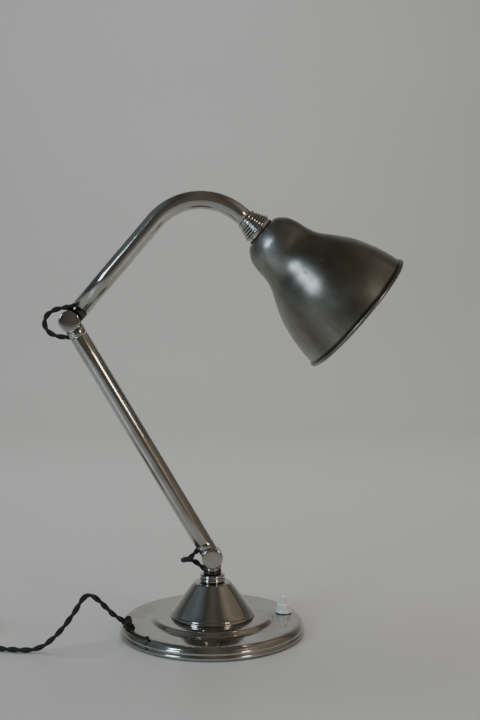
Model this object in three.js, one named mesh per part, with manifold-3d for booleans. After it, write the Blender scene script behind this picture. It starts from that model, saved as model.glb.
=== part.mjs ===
// Two-arm desk lamp with knuckle joints: weighted round base, chromed tube arms, spun bell shade.
// Millimetres, +Z up. The origin is the centre of the felt's underside; the arms fold in the XZ plane.
import * as THREE from "three";
import { mergeVertices } from "three/addons/utils/BufferGeometryUtils.js";
import Module from "manifold-3d";

const wasm = await Module();
wasm.setup();

// ---------- Driving dimensions ----------
const GAP = 0.3; // between two pieces that touch, seat or turn on each other
const DEG = Math.PI / 180;
const ROUND = 32; // facets round a large turned piece
const SMALL = 16; // facets round a small turned piece
const TUBES = 20; // facets round a tube or knuckle

const BASE = {
  radius: 91.5, // widest, at the lower rim bead
  wall: 1.2,
  rimLift: 0.4, // the felt stands proud of the rim by this much
  beadRadius: 2.2,
  shoulderRadius: 6.2,
  shelfInset: 7.5, // flat shelf starts this far in from the rim
  shelfHeight: 12.8,
  stepRadius: 60,
  crownHeight: 16.6,
};
const FELT = { thickness: 1.5, inset: 3.5 };
const WEIGHT = { ringInner: 57, cavityTop: 11.5, chamfer: 3 };
const CONE = { footRadius: 42, topRadius: 20, topHeight: 50, wall: 1.4, lip: 2.6, shoulder: 4 };
const COLLAR = { radius: 13, height: 8, waist: 0.8 };
const STEM = { radius: 5, bore: 3.2, nutRadius: 8.5, nutHeight: 3.2, washer: 0.8 };
const NECK = { height: 5, spigotRadius: 6.5, spigotDepth: 4, rise: 16 }; // rise: collar to knuckle
const TUBE = { radius: 9, wall: 1.2 };
const KNUCKLE = {
  discRadius: 10.5,
  depth: 8.2, // flat outer face of a half, measured from the middle of the tube
  clearance: 0.6, // round the other half's disc
  splay: 1.2, // half width of a barrel's near end over its height, so that folded barrels pass
  shoulder: 17, // joint centre to tube end
  spigot: 9, // length inside the tube
  screwRadius: 2,
  headRadius: 4.2,
  washer: 0.8,
};
const JOINT_HEIGHT = CONE.topHeight + COLLAR.height + NECK.rise; // lower knuckle above the table
const LOWER_ARM = { length: 273, lean: -30.4 }; // lean from upright, degrees, positive to +X
const UPPER_ARM = { straight: 127.3, bendRadius: 59, bend: 89.3, tail: 27.5, lean: 40.6 };
const SHADE = { length: 124, rimRadius: 66, domeRadius: 30.5, wall: 1, bead: 2 };
const BULB = { capRadius: 11, capLength: 25, glassRadius: 30, length: 106, wall: 0.8 };
const SKIRT_RADIUS = BULB.capRadius + 2.2; // the brass tube that takes the bulb's cap
const HOLDER = {
  skirtRadius: SKIRT_RADIUS,
  boss: SKIRT_RADIUS + 1.8,
  flangeRadius: SKIRT_RADIUS + 2.8,
  ringRadius: 10.3,
  capLength: 21,
  skirtEnd: 22,
};
const SWITCH = { x: 72.4, y: 14.4, footRadius: 8.5, topRadius: 6, height: 9.5, button: 3.5, proud: 7.5 };
const FLEX = 2.6; // radius of the flex inside the tubes and at the joint loops
const LEAD = 2.75; // radius of the free lead, two twisted cores together
const COIL = { x: -260, y: 2, turns: 4, layers: 2, middle: 30 };
const PLUG = { width: 18, thickness: 11.2, length: 40, pinRadius: 2.4, pinLength: 19, pinSpacing: 19 };

// ---------- Finishes ----------
const finish = (color, roughness, metalness) => ({ color, roughness, metalness });
const CHROME = finish(0xb9bec4, 0.12, 1);
const NICKEL = finish(0x6f6d66, 0.34, 1);
const BRASS = finish(0xa98a4a, 0.35, 1);
const STEEL = finish(0x8d8f90, 0.35, 1);
const IRON = finish(0x3b3a38, 0.75, 0.6);
const BLACK = finish(0x121212, 0.45, 0);
const CLOTH = finish(0x0d0d0e, 0.9, 0);
const WHITE = finish(0xe9e7e0, 0.3, 0);
const FELTED = finish(0x1d3326, 0.95, 0);
const RUBBER = finish(0x0a0a0a, 0.7, 0);
const GLASS = finish(0xf6ead2, 0.1, 0);

// ---------- Shape helpers ----------
// Points of an arc about (r, z), from one angle to another in degrees.
function arc(r, z, radius, from, to, steps) {
  return Array.from({ length: steps + 1 }, (_, i) => {
    const angle = (from + ((to - from) * i) / steps) * DEG;
    return [r + radius * Math.cos(angle), z + radius * Math.sin(angle)];
  });
}

// Revolves an outline of [radius, height] about Z; it starts and ends on the axis, or closes on itself.
function turned(outline, facets = SMALL) {
  const points = outline.map(([r, z]) => new THREE.Vector2(r, z));
  if (THREE.ShapeUtils.area(points) < 0) points.reverse();
  if (points[0].x > 0) points.push(points[0].clone());
  return new THREE.LatheGeometry(points, facets).rotateX(Math.PI / 2);
}

const rod = (radius, low, high, facets) =>
  turned([[0, low], [radius, low], [radius, high], [0, high]], facets);
const ring = (inner, outer, low, high, facets) =>
  turned([[inner, low], [outer, low], [outer, high], [inner, high]], facets);
const hexNut = (hole, radius, low, high) =>
  cut(rod(radius, low, high, 6), rod(hole, low - 1, high + 1, SMALL));
const alongY = (geometry) => geometry.rotateX(-Math.PI / 2);

// A rod from one point to another.
function between(from, to, radius, facets = 16) {
  const start = new THREE.Vector3(...from);
  const way = new THREE.Vector3(...to).sub(start);
  const up = new THREE.Vector3(0, 0, 1);
  const turn = new THREE.Quaternion().setFromUnitVectors(up, way.clone().normalize());
  return rod(radius, 0, way.length(), facets).applyQuaternion(turn).translate(...from);
}

// Shifts an open outline sideways by a distance, with mitred corners.
function offset(points, distance) {
  const at = (i) => new THREE.Vector2(...points[Math.min(Math.max(i, 0), points.length - 1)]);
  return points.map((_, i) => {
    const before = at(i).sub(at(i - 1));
    const after = at(i + 1).sub(at(i));
    const one = before.lengthSq() ? before.normalize() : after.clone().normalize();
    const two = after.lengthSq() ? after.normalize() : one;
    const normal = new THREE.Vector2(-one.y - two.y, one.x + two.x).normalize();
    const reach = distance / Math.max(0.5, -one.y * normal.x + one.x * normal.y);
    return [points[i][0] + normal.x * reach, points[i][1] + normal.y * reach];
  });
}

// A sheet of even thickness turned about Z; positive puts the second face to the outline's left.
const spun = (outline, wall, facets = ROUND) =>
  turned([...outline, ...offset(outline, wall).reverse()], facets);

const polygon = (radius, sides) =>
  Array.from({ length: sides }, (_, i) => {
    const angle = (2 * Math.PI * i) / sides;
    return new THREE.Vector2(radius * Math.cos(angle), radius * Math.sin(angle));
  });

// A round bar along a curve.
const swept = (curve, radius, steps, sides = 6) =>
  new THREE.ExtrudeGeometry(new THREE.Shape(polygon(radius, sides)), { steps, extrudePath: curve });
const through = (points) =>
  new THREE.CatmullRomCurve3(points.map((p) => new THREE.Vector3(...p)), false, "centripetal");

function solid(geometry) {
  const bare = geometry.clone();
  for (const name of ["normal", "uv"]) bare.deleteAttribute(name);
  const merged = mergeVertices(bare, 1e-4);
  return new wasm.Manifold(
    new wasm.Mesh({
      numProp: 3,
      vertProperties: merged.attributes.position.array,
      triVerts: new Uint32Array(merged.index.array),
    }),
  );
}

function shaped(body) {
  const { vertProperties, triVerts } = body.getMesh();
  const geometry = new THREE.BufferGeometry();
  geometry.setAttribute("position", new THREE.BufferAttribute(vertProperties, 3));
  geometry.setIndex(new THREE.BufferAttribute(triVerts, 1));
  geometry.computeVertexNormals();
  return geometry;
}

const joined = (first, ...others) =>
  shaped(others.reduce((body, other) => body.add(solid(other)), solid(first)));
const cut = (first, ...tools) =>
  shaped(tools.reduce((body, tool) => body.subtract(solid(tool)), solid(first)));

function group(parent, x = 0, y = 0, z = 0, tilt = 0) {
  const made = new THREE.Group();
  made.position.set(x, y, z);
  made.rotation.y = tilt * DEG;
  parent.add(made);
  return made;
}

function piece(parent, name, geometry, look) {
  const mesh = new THREE.Mesh(geometry, new THREE.MeshStandardMaterial(look));
  mesh.name = name;
  parent.add(mesh);
  return mesh;
}

// ---------- The tree of moving groups ----------
const lamp = new THREE.Group();
const base = group(lamp);
const neck = group(lamp, 0, 0, JOINT_HEIGHT);
const lowerArm = group(neck, 0, 0, 0, LOWER_ARM.lean);
const upperArm = group(lowerArm, 0, 0, LOWER_ARM.length, UPPER_ARM.lean - LOWER_ARM.lean);
const bendEnd = [
  UPPER_ARM.bendRadius * (1 - Math.cos(UPPER_ARM.bend * DEG)),
  UPPER_ARM.straight + UPPER_ARM.bendRadius * Math.sin(UPPER_ARM.bend * DEG),
];
const head = group(
  upperArm,
  bendEnd[0] + UPPER_ARM.tail * Math.sin(UPPER_ARM.bend * DEG),
  0,
  bendEnd[1] + UPPER_ARM.tail * Math.cos(UPPER_ARM.bend * DEG),
  UPPER_ARM.bend,
); // its origin is the middle of the shade's top face, +Z along the shade

// ---------- Free lead: route points, hand-placed ----------
const EXIT = [-80.3, -28.9, 12.7];
const KNOT = [-83.5, -30, 18];
const leadRoute = [
  [-85.6, -31, 20.2], [-90, -33.2, 23.6], [-97, -37, 30], [-104, -42, 39.2], [-111, -47, 47.8],
  [-115.4, -50, 51.6], [-119.4, -52, 52.3], [-123, -54, 50], [-126, -55.5, 46], [-129.5, -57, 40.2],
  [-134, -58.5, 34], [-138.5, -60, 28], [-144, -61, 21.5], [-149.5, -61, 16], [-155, -60.3, 11],
  [-161, -59, 6.6], [-168, -58.2, 3.8], [-175, -58, 2.95], [-183, -57, 2.9], [-192, -55, 2.9],
  [-202, -52, 2.9], [-213, -48.4, 2.9], [-222, -45.2, 2.9], [-231, -42.6, 2.9], [-240.5, -40.8, 2.9],
];
const exitWay = new THREE.Vector3(...KNOT).sub(new THREE.Vector3(...EXIT)).normalize();
const fromExit = (distance) => new THREE.Vector3(...EXIT).addScaledVector(exitWay, distance).toArray();
const bush = { radius: 4.4, bore: LEAD + GAP, inside: 3, outside: 1.6 };

// ---------- Base ----------
const shelfRadius = BASE.radius - BASE.shelfInset;
const shoulderZ = BASE.shelfHeight - BASE.shoulderRadius;
const stemHole = STEM.radius + GAP;
const riser = [22.6, 6.1]; // the flex rises here, through the weight and the crown into the hollow cone
const riserHole = rod(FLEX + 1, 0, BASE.crownHeight + 2, 12).translate(...riser, 0);
const stemPort = between([14, 3.8, 27.5], [-2.8, -0.7, 42.4], FLEX + 0.8, 10);
const coverOutline = [
  ...arc(BASE.radius - BASE.beadRadius, BASE.rimLift + BASE.beadRadius, BASE.beadRadius, -80, 50, 4),
  ...arc(BASE.radius - 2.9, 7, BASE.beadRadius, -50, 30, 3),
  ...arc(shelfRadius, shoulderZ, BASE.shoulderRadius, 25, 90, 4),
  [BASE.stepRadius + 1.4, BASE.shelfHeight],
  [BASE.stepRadius, BASE.shelfHeight + 0.8],
  ...arc(BASE.stepRadius - 2, BASE.crownHeight - 2, 2, 0, 90, 2),
  [stemHole, BASE.crownHeight],
];
const switchAt = (low, high, radius) =>
  rod(radius, low, high).translate(SWITCH.x, SWITCH.y, BASE.shelfHeight);
piece(
  base,
  "base_cover",
  cut(
    spun(coverOutline, BASE.wall),
    switchAt(-5, 5, 5),
    riserHole,
    between(fromExit(-bush.inside - 3), fromExit(8), bush.radius + GAP),
  ),
  CHROME,
);
piece(base, "base_felt", rod(BASE.radius - FELT.inset, 0, FELT.thickness, ROUND), FELTED);

const weightRadius = shelfRadius + 2.6;
const weightTop = BASE.shelfHeight - BASE.wall - GAP;
const crownUnder = BASE.crownHeight - BASE.wall - GAP;
const flexLevel = FELT.thickness + GAP + FLEX + 0.4;
const exitGroove = [EXIT[0] * 0.63, EXIT[1] * 0.63, flexLevel];
piece(
  base,
  "base_weight",
  cut(
    turned(
      [
        [stemHole, WEIGHT.cavityTop],
        [WEIGHT.ringInner, WEIGHT.cavityTop],
        [WEIGHT.ringInner, FELT.thickness + GAP],
        [weightRadius, FELT.thickness + GAP],
        [weightRadius, weightTop - WEIGHT.chamfer],
        [weightRadius - WEIGHT.chamfer, weightTop],
        [BASE.stepRadius - 3.5, weightTop],
        [BASE.stepRadius - 3.5, crownUnder],
        [stemHole, crownUnder],
      ],
      ROUND,
    ),
    switchAt(-20, 5, SWITCH.footRadius),
    between([SWITCH.x, SWITCH.y, flexLevel], [SWITCH.x * 0.6, SWITCH.y * 0.6, flexLevel], 6.5, 12),
    riserHole,
    between(fromExit(8), fromExit(-bush.inside - 3), bush.radius + 1),
    between(fromExit(-bush.inside - 1), exitGroove, bush.radius),
  ),
  IRON,
);

// Cone: a spun shell standing on the crown, closed by the collar above it.
const coneSeat = BASE.crownHeight + GAP;
const coneRise = Math.atan2(CONE.topHeight - coneSeat - CONE.lip, CONE.footRadius - CONE.topRadius) / DEG;
const coneShoulder = [CONE.topRadius - CONE.shoulder, CONE.topHeight - CONE.shoulder];
piece(
  base,
  "base_cone",
  spun(
    [
      [CONE.footRadius, coneSeat],
      [CONE.footRadius, coneSeat + 1.2],
      [CONE.footRadius - 0.6, coneSeat + CONE.lip],
      ...arc(...coneShoulder, CONE.shoulder, 90 - coneRise, 90, 3),
      [stemHole, CONE.topHeight],
    ],
    CONE.wall,
  ),
  CHROME,
);

const collarLow = CONE.topHeight + GAP;
const collarHigh = CONE.topHeight + COLLAR.height;
const spigotLow = collarHigh - NECK.spigotDepth;
const grub = { radius: 1.5, z: spigotLow + 1.8 };
piece(
  base,
  "base_collar",
  cut(
    turned([
      [stemHole, collarLow],
      [COLLAR.radius - 1.2, collarLow],
      ...arc(COLLAR.radius - 2, collarLow + 2.2, 2, -70, 60, 4),
      [COLLAR.radius - COLLAR.waist - 0.6, collarLow + 4.1],
      ...arc(COLLAR.radius - 2.6, collarHigh - 2, 2, -40, 90, 4),
      [NECK.spigotRadius + GAP, collarHigh],
      [NECK.spigotRadius + GAP, spigotLow - GAP],
      [stemHole, spigotLow - GAP],
    ]),
    between([0, 4, grub.z], [0, 20, grub.z], grub.radius + GAP, 12),
  ),
  CHROME,
);
piece(
  base,
  "neck_grub_screw",
  between([0, NECK.spigotRadius + GAP, grub.z], [0, COLLAR.radius - 0.8, grub.z], grub.radius, 12),
  STEEL,
);

const stemLow = WEIGHT.cavityTop - STEM.nutHeight - STEM.washer - 3 * GAP;
piece(base, "base_stem", cut(ring(STEM.bore, STEM.radius, stemLow, spigotLow - 2 * GAP), stemPort), STEEL);
const washerLow = WEIGHT.cavityTop - GAP - STEM.washer;
piece(base, "stem_washer", ring(stemHole, 12, washerLow, washerLow + STEM.washer), STEEL);
piece(
  base,
  "stem_nut",
  hexNut(stemHole, STEM.nutRadius, washerLow - GAP - STEM.nutHeight, washerLow - GAP),
  STEEL,
);

// Push switch on the shelf.
const switchGroup = group(base, SWITCH.x, SWITCH.y, BASE.shelfHeight);
const switchBore = SWITCH.button + 0.4;
const neckOut = switchBore + 0.8;
piece(
  switchGroup,
  "switch_bezel",
  turned([
    [switchBore, -4],
    [neckOut, -4],
    [neckOut, GAP],
    [SWITCH.footRadius, GAP],
    [SWITCH.footRadius, 1.4],
    [SWITCH.topRadius + 0.6, SWITCH.height - 1],
    [SWITCH.topRadius - 0.5, SWITCH.height],
    [switchBore, SWITCH.height],
  ]),
  WHITE,
);
piece(switchGroup, "switch_nut", hexNut(neckOut + GAP, 7.6, -3.8, -BASE.wall - GAP), STEEL);
const bodyTop = -4 - GAP;
const bodyLow = FELT.thickness + GAP - BASE.shelfHeight;
const wellFloor = bodyLow + 1.6;
piece(
  switchGroup,
  "switch_body",
  turned([[0, bodyLow], [7.6, bodyLow], [7.6, bodyTop], [4.3, bodyTop], [4.3, wellFloor], [0, wellFloor]]),
  BLACK,
);
const buttonFoot = -5;
piece(switchGroup, "switch_spring", ring(2.1, 3.1, wellFloor + GAP, buttonFoot - GAP, 16), STEEL);
piece(
  switchGroup,
  "switch_button",
  turned([
    [0, buttonFoot],
    [SWITCH.button, buttonFoot],
    [SWITCH.button, SWITCH.height + SWITCH.proud - 1.5],
    [SWITCH.button - 1.2, SWITCH.height + SWITCH.proud],
    [0, SWITCH.height + SWITCH.proud],
  ]),
  WHITE,
);

// ---------- Knuckle joints ----------
// A half: disc, barrel and spigot about its own joint centre, its tube along +Z, its mating face at y = 0.
// The port lets the flex in at one side: it crosses the axis at port[0] and leaves the barrel at port[1].
const PORT_REACH = 12;
const inPort = (side, [atAxis, atSide], lateral) => [
  side * lateral,
  0,
  atAxis - (lateral * (atAxis - atSide)) / PORT_REACH,
];
const flexPort = (side, port) => between(inPort(side, port, -2), inPort(side, port, 16), FLEX + 0.8, 12);
const FRONT = -1;
const REAR = 1;
function knuckleHalf(facing, side, port, { shoulder, spigotRadius, spigotEnd, bore }) {
  const lap = (from, to, radius) =>
    alongY(rod(radius, Math.min(facing * from, facing * to), Math.max(facing * from, facing * to), TUBES));
  const body = joined(
    rod(TUBE.radius, TUBE.radius / KNUCKLE.splay, shoulder, TUBES),
    lap(-1, KNUCKLE.depth, KNUCKLE.discRadius),
    rod(spigotRadius, shoulder - 1, spigotEnd, SMALL),
  );
  return cut(
    body,
    lap(GAP / 2, -PORT_REACH, KNUCKLE.discRadius + KNUCKLE.clearance),
    rod(bore, KNUCKLE.discRadius + 2, spigotEnd + 1, SMALL),
    flexPort(side, port),
    lap(-1, facing === FRONT ? 6 : 12, KNUCKLE.screwRadius + GAP),
  );
}
const inTube = {
  shoulder: KNUCKLE.shoulder,
  spigotRadius: TUBE.radius - TUBE.wall - GAP,
  spigotEnd: KNUCKLE.shoulder + KNUCKLE.spigot,
  bore: 6.5,
};
const slantPort = [21, 7];
const levelPort = [19, 11];
const squarePort = [17, 13];

// Screw through both halves, its head and washer at the rear.
function jointScrew(parent, prefix) {
  const seat = KNUCKLE.depth + GAP;
  const head = seat + KNUCKLE.washer + GAP;
  const { screwRadius, headRadius, washer } = KNUCKLE;
  const disc = ring(screwRadius + GAP, headRadius, seat, seat + washer);
  const screw = turned([
    [0, -5],
    [screwRadius, -5],
    [screwRadius, head],
    [headRadius, head],
    [headRadius, head + 1.4],
    [headRadius - 1, head + 2.4],
    [0, head + 2.4],
  ]);
  piece(parent, prefix + "_washer", alongY(disc), STEEL);
  piece(parent, prefix + "_screw", alongY(screw), STEEL);
}

// Neck: the rear half of the lower knuckle, turning in the collar.
const neckSleeveTop = collarHigh + NECK.height - JOINT_HEIGHT;
const neckSleeveLow = collarHigh + GAP - JOINT_HEIGHT;
const neckPort = [17, 8.3];
const neckDown = group(neck, 0, 0, 0, 180);
piece(
  neckDown,
  "neck_knuckle",
  knuckleHalf(REAR, 1, neckPort, {
    shoulder: -neckSleeveTop,
    spigotRadius: NECK.spigotRadius,
    spigotEnd: JOINT_HEIGHT - spigotLow,
    bore: 4,
  }),
  CHROME,
);
piece(
  neckDown,
  "neck_sleeve",
  cut(
    ring(NECK.spigotRadius + GAP, TUBE.radius, -neckSleeveTop + GAP, -neckSleeveLow, TUBES),
    flexPort(1, neckPort),
  ),
  BLACK,
);

// Lower arm: a straight tube between two front halves.
const elbowEnd = group(lowerArm, 0, 0, LOWER_ARM.length, 180);
piece(lowerArm, "lower_knuckle", knuckleHalf(FRONT, -1, squarePort, inTube), CHROME);
piece(elbowEnd, "elbow_front_knuckle", knuckleHalf(FRONT, 1, levelPort, inTube), CHROME);
const tubeStart = KNUCKLE.shoulder + GAP;
piece(
  lowerArm,
  "lower_arm_tube",
  cut(
    ring(TUBE.radius - TUBE.wall, TUBE.radius, tubeStart, LOWER_ARM.length - tubeStart, TUBES),
    flexPort(-1, squarePort),
    flexPort(1, levelPort).rotateY(Math.PI).translate(0, 0, LOWER_ARM.length),
  ),
  CHROME,
);
jointScrew(lowerArm, "lower_joint");
jointScrew(elbowEnd, "elbow_joint");

// Upper arm: the rear half of the elbow, and one tube with a swan-neck bend.
const alongArm = (x, z) => new THREE.Vector3(x, 0, z);
const bendSteps = 14;
const bendPoints = Array.from({ length: bendSteps + 1 }, (_, i) => {
  const angle = (UPPER_ARM.bend * DEG * i) / bendSteps;
  return alongArm(
    UPPER_ARM.bendRadius * (1 - Math.cos(angle)),
    UPPER_ARM.straight + UPPER_ARM.bendRadius * Math.sin(angle),
  );
});
const tubeTail = UPPER_ARM.tail - HOLDER.capLength + 6.5;
const tubeEnd = alongArm(
  bendEnd[0] + tubeTail * Math.sin(UPPER_ARM.bend * DEG),
  bendEnd[1] + tubeTail * Math.cos(UPPER_ARM.bend * DEG),
);
const upperPath = new THREE.CurvePath();
const corners = [alongArm(0, tubeStart), ...bendPoints, tubeEnd];
corners.slice(1).forEach((end, i) => upperPath.add(new THREE.LineCurve3(corners[i], end)));
const tubeSection = new THREE.Shape(polygon(TUBE.radius, TUBES));
tubeSection.holes.push(new THREE.Path(polygon(TUBE.radius - TUBE.wall, SMALL)));
piece(upperArm, "elbow_rear_knuckle", knuckleHalf(REAR, -1, slantPort, inTube), CHROME);
piece(
  upperArm,
  "upper_arm_tube",
  cut(
    new THREE.ExtrudeGeometry(tubeSection, { steps: 22, extrudePath: upperPath }),
    flexPort(-1, slantPort),
  ),
  CHROME,
);

// ---------- Lampholder ----------
// Ribbed cap: a boss round the tube's end, four ring beads on a cone, then a flange.
const capLow = -HOLDER.capLength;
const flangeTop = -6.5;
const ribs = 4;
const ribPitch = (flangeTop - (capLow + 4)) / ribs;
const ribOutline = Array.from({ length: ribs }, (_, i) => {
  const share = (i + 0.5) / ribs;
  const middle = capLow + 4 + (i + 0.5) * ribPitch;
  const crest = HOLDER.ringRadius + share * (HOLDER.boss - 0.3 - HOLDER.ringRadius);
  return arc(crest, middle, ribPitch * 0.42, -90, 90, 2);
}).flat();
piece(
  head,
  "holder_cap",
  turned(
    [
      [TUBE.radius + GAP, capLow],
      ...arc(HOLDER.ringRadius - 0.6, capLow + 1.6, 1.4, -90, 70, 2),
      [HOLDER.ringRadius, capLow + 3.6],
      ...ribOutline,
      [HOLDER.flangeRadius - 1.4, flangeTop],
      ...arc(HOLDER.flangeRadius - 1, flangeTop + 1, 1, -90, 90, 2),
      [HOLDER.boss - 0.3, flangeTop + 2.6],
      [HOLDER.boss - 0.3, -1.8],
      [HOLDER.skirtRadius + GAP, -1.8],
      [HOLDER.skirtRadius + GAP, -9],
      [6, -11],
      [6, capLow + 8],
      [TUBE.radius + GAP, capLow + 7],
    ],
    TUBES,
  ),
  CHROME,
);
const slotZ = HOLDER.skirtEnd - 4; // the two slots that take the bulb cap's pins
const pinSlot = (side) => between([0, side * 8, slotZ], [0, side * 16, slotZ], 1.6, 8);
piece(
  head,
  "holder_skirt",
  cut(
    ring(BULB.capRadius + 0.6, HOLDER.skirtRadius, -8.4, HOLDER.skirtEnd, TUBES),
    pinSlot(1),
    pinSlot(-1),
  ),
  BRASS,
);
piece(head, "holder_insulator", rod(BULB.capRadius, -8.2, -4.5), BLACK);
[1, -1].forEach((side, i) =>
  piece(
    head,
    "holder_contact_" + (i + 1),
    rod(1.8, -4.2, 0.2, 12).translate(side * 4.6, 0, 0),
    BRASS,
  ),
);
piece(head, "shade_gasket", ring(HOLDER.skirtRadius + GAP, HOLDER.boss, -1.5, 0, TUBES), RUBBER);
const shadeHole = HOLDER.skirtRadius + 2 * GAP;
const ringLow = SHADE.wall + 2 * GAP;
piece(head, "shade_ring", ring(HOLDER.skirtRadius + GAP, shadeHole + 3.6, ringLow, 6.5, TUBES), BLACK);

// ---------- Shade ----------
// Domed shoulder, a short waist and a long bell; given as shares of the length and of the flare.
const flare = SHADE.rimRadius - SHADE.domeRadius;
const shoulderShares = [[0.005, shadeHole + 4.7], [0.03, shadeHole + 8.7], [0.09, shadeHole + 14]];
const flareShares = [
  [0.165, 0], [0.26, 0.05], [0.345, 0.155], [0.44, 0.36],
  [0.58, 0.64], [0.73, 0.825], [0.85, 0.93], [0.98, 1],
];
const bell = new THREE.SplineCurve(
  [
    ...shoulderShares,
    ...flareShares.map(([share, grown]) => [share, SHADE.domeRadius + grown * flare]),
  ].map(([share, radius]) => new THREE.Vector2(radius, share * SHADE.length)),
);
const bellLine = bell.getPoints(11).map((p) => [p.x, p.y]);
const shadeOutline = [[shadeHole, GAP], [shadeHole + 2.7, GAP], ...bellLine];
piece(
  head,
  "shade",
  joined(
    spun(shadeOutline, SHADE.wall),
    turned(arc(SHADE.rimRadius, SHADE.length * 0.985, SHADE.bead, 0, 300, 5), ROUND),
  ),
  NICKEL,
);

// ---------- Bulb ----------
const glassLow = BULB.capLength + GAP;
const ballZ = BULB.length - BULB.glassRadius;
const glassOutline = [
  [BULB.capRadius - 1, glassLow],
  [BULB.capRadius + 1.5, glassLow + 9],
  [BULB.capRadius + 6, glassLow + 21],
  ...arc(0, ballZ, BULB.glassRadius, -38, 80, 6),
];
const capInside = BULB.capRadius - BULB.wall;
piece(
  head,
  "bulb_cap",
  turned([
    [0, 2 * GAP],
    [BULB.capRadius, 2 * GAP],
    [BULB.capRadius, BULB.capLength],
    [capInside, BULB.capLength],
    [capInside, 2 * GAP + BULB.wall],
    [0, 2 * GAP + BULB.wall],
  ]),
  BRASS,
);
const glassInside = offset(glassOutline, BULB.wall);
piece(
  head,
  "bulb_glass",
  cut(
    turned([[0, glassLow], ...glassOutline, [0, BULB.length]], TUBES),
    turned(
      [[0, glassLow - 1], [glassInside[0][0], glassLow - 1], ...glassInside, [0, BULB.length - BULB.wall]],
      TUBES,
    ),
  ),
  GLASS,
);

// ---------- Flex inside the lamp ----------
const flex = (parent, name, points, steps) =>
  piece(parent, name, swept(through(points), FLEX, steps), CLOTH);
flex(
  base,
  "base_flex",
  [
    fromExit(bush.outside - 0.6), fromExit(-2.6), [-72, -26, 8], [-60, -21.8, 6.2],
    ...[[-48, -18.8], [-25, -22], [5, -22], [34, -6], [51, 6], [63.6, 9.6]].map((p) => [...p, flexLevel]),
  ],
  28,
);
flex(
  base,
  "stem_flex",
  [
    [63.2, 15.6, flexLevel], [50, 12.4, flexLevel], [34, 9, flexLevel + 0.2],
    [26, 7, 7.4], [22.6, 6.1, 12.5], [21.2, 5.7, 19], [15.4, 4.1, 26.2],
    [8, 2.1, 32.5], [2.4, 0.6, 37.4], [0.2, 0, 43], [0, 0, spigotLow - 1],
  ],
  32,
);
flex(
  neck,
  "neck_flex",
  [[0, 0, spigotLow - JOINT_HEIGHT], [-0.4, 0, -17.9], [-2.2, 0, -15.5], [-5, 0, -13.4], [-10.2, 0, -9.6]],
  8,
);
flex(
  lowerArm,
  "lower_arm_flex",
  [inPort(-1, squarePort, 11.5), inPort(-1, squarePort, 7), [-2.6, 0, 18], [-0.6, 0, 24], [0, 0, 34],
    [0, 0, LOWER_ARM.length / 2], [0, 0, LOWER_ARM.length - 44], [-0.6, 0, LOWER_ARM.length - 29],
    [-2.3, 0, LOWER_ARM.length - 19.2], [-10.6, 0, LOWER_ARM.length - 11.9]],
  48,
);
flex(
  upperArm,
  "upper_arm_flex",
  [[-10.6, 0, 8.7], [-3.4, 0, 18], [-0.8, 0, 30], [0, 0, 44], [0, 0, UPPER_ARM.straight / 2 + 20],
    ...bendPoints.filter((_, i) => i % 2 === 0).map((p) => p.toArray()),
    tubeEnd.toArray()],
  40,
);

// Loops that bridge the two joints, measured from each joint's centre.
const elbow = {
  x: LOWER_ARM.length * Math.sin(LOWER_ARM.lean * DEG),
  z: JOINT_HEIGHT + LOWER_ARM.length * Math.cos(LOWER_ARM.lean * DEG),
};
flex(
  group(base, 0, 0, JOINT_HEIGHT),
  "lower_joint_loop",
  [
    [-17.5, 0.2, 4.7], [-19.6, -1.6, 2.6], [-22.6, -4.6, 0.8], [-26.2, -5.6, -0.6],
    [-28.6, -2.8, -1.5], [-29, 1.6, -2.1], [-26.8, 5, -2.8], [-22.2, 6, -3.6],
    [-17.4, 4, -4.8], [-13.4, 1, -7], [-10.8, 0, -9.1],
  ],
  20,
);
flex(
  group(base, elbow.x, 0, elbow.z),
  "elbow_loop",
  [[-3.75, 0, -15.57], [-10.35, 0, -15.07], [-17.15, 0, -12.77], [-22.45, 0, -8.27], [-24.45, 0, -1.47],
    [-22.15, 0, 5.33], [-16.45, 0, 9.93], [-9.65, 0, 12.23], [-3.05, 0, 13.33]],
  20,
);

// ---------- Free lead, its bush, knot and plug ----------
piece(
  base,
  "cord_bush",
  cut(
    between(fromExit(-bush.inside), fromExit(bush.outside), bush.radius, 20),
    between(fromExit(-bush.inside - 1), fromExit(bush.outside + 1), bush.bore, 16),
  ),
  RUBBER,
);
const leadCurve = through([fromExit(bush.outside + GAP), ...leadRoute]);
piece(base, "cord_lead", swept(leadCurve, LEAD, 40, 8), CLOTH);
piece(
  base,
  "cord_knot",
  cut(
    joined(
      new THREE.SphereGeometry(5.4, 12, 8).scale(1, 1.05, 0.95).translate(...KNOT),
      new THREE.SphereGeometry(3.3, 8, 6).translate(KNOT[0] + 1.8, KNOT[1] + 5.6, KNOT[2] + 2.6),
    ),
    swept(leadCurve, LEAD + GAP, 40, 8),
    between(fromExit(0), fromExit(bush.outside + 1), bush.radius + GAP),
  ),
  CLOTH,
);
const tailRadius = 0.8;
const onShoulder = (azimuth, lift) => {
  const tilt = 62 * DEG;
  const reach = BASE.shoulderRadius + lift;
  const radius = shelfRadius + reach * Math.cos(tilt);
  const angle = azimuth * DEG;
  return [radius * Math.cos(angle), radius * Math.sin(angle), shoulderZ + reach * Math.sin(tilt)];
};
const tailTurns = [205.5, 209, 213, 217, 221, 224]; // degrees round the base
const tailPoints = tailTurns.map((azimuth) => onShoulder(azimuth, tailRadius + 0.35));
piece(
  base,
  "tie_tail",
  joined(
    swept(through(tailPoints), tailRadius, 14, 6),
    new THREE.SphereGeometry(2, 10, 8).translate(...onShoulder(224.5, 2.4)),
  ),
  CLOTH,
);
const coilSpread = (COIL.turns / 2 + 0.5) * 2 * LEAD;
const coilTop = 0.15 + COIL.layers * 2 * LEAD;
const coiled = ring(COIL.middle - coilSpread, COIL.middle + coilSpread, 0.15, coilTop, ROUND);
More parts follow.
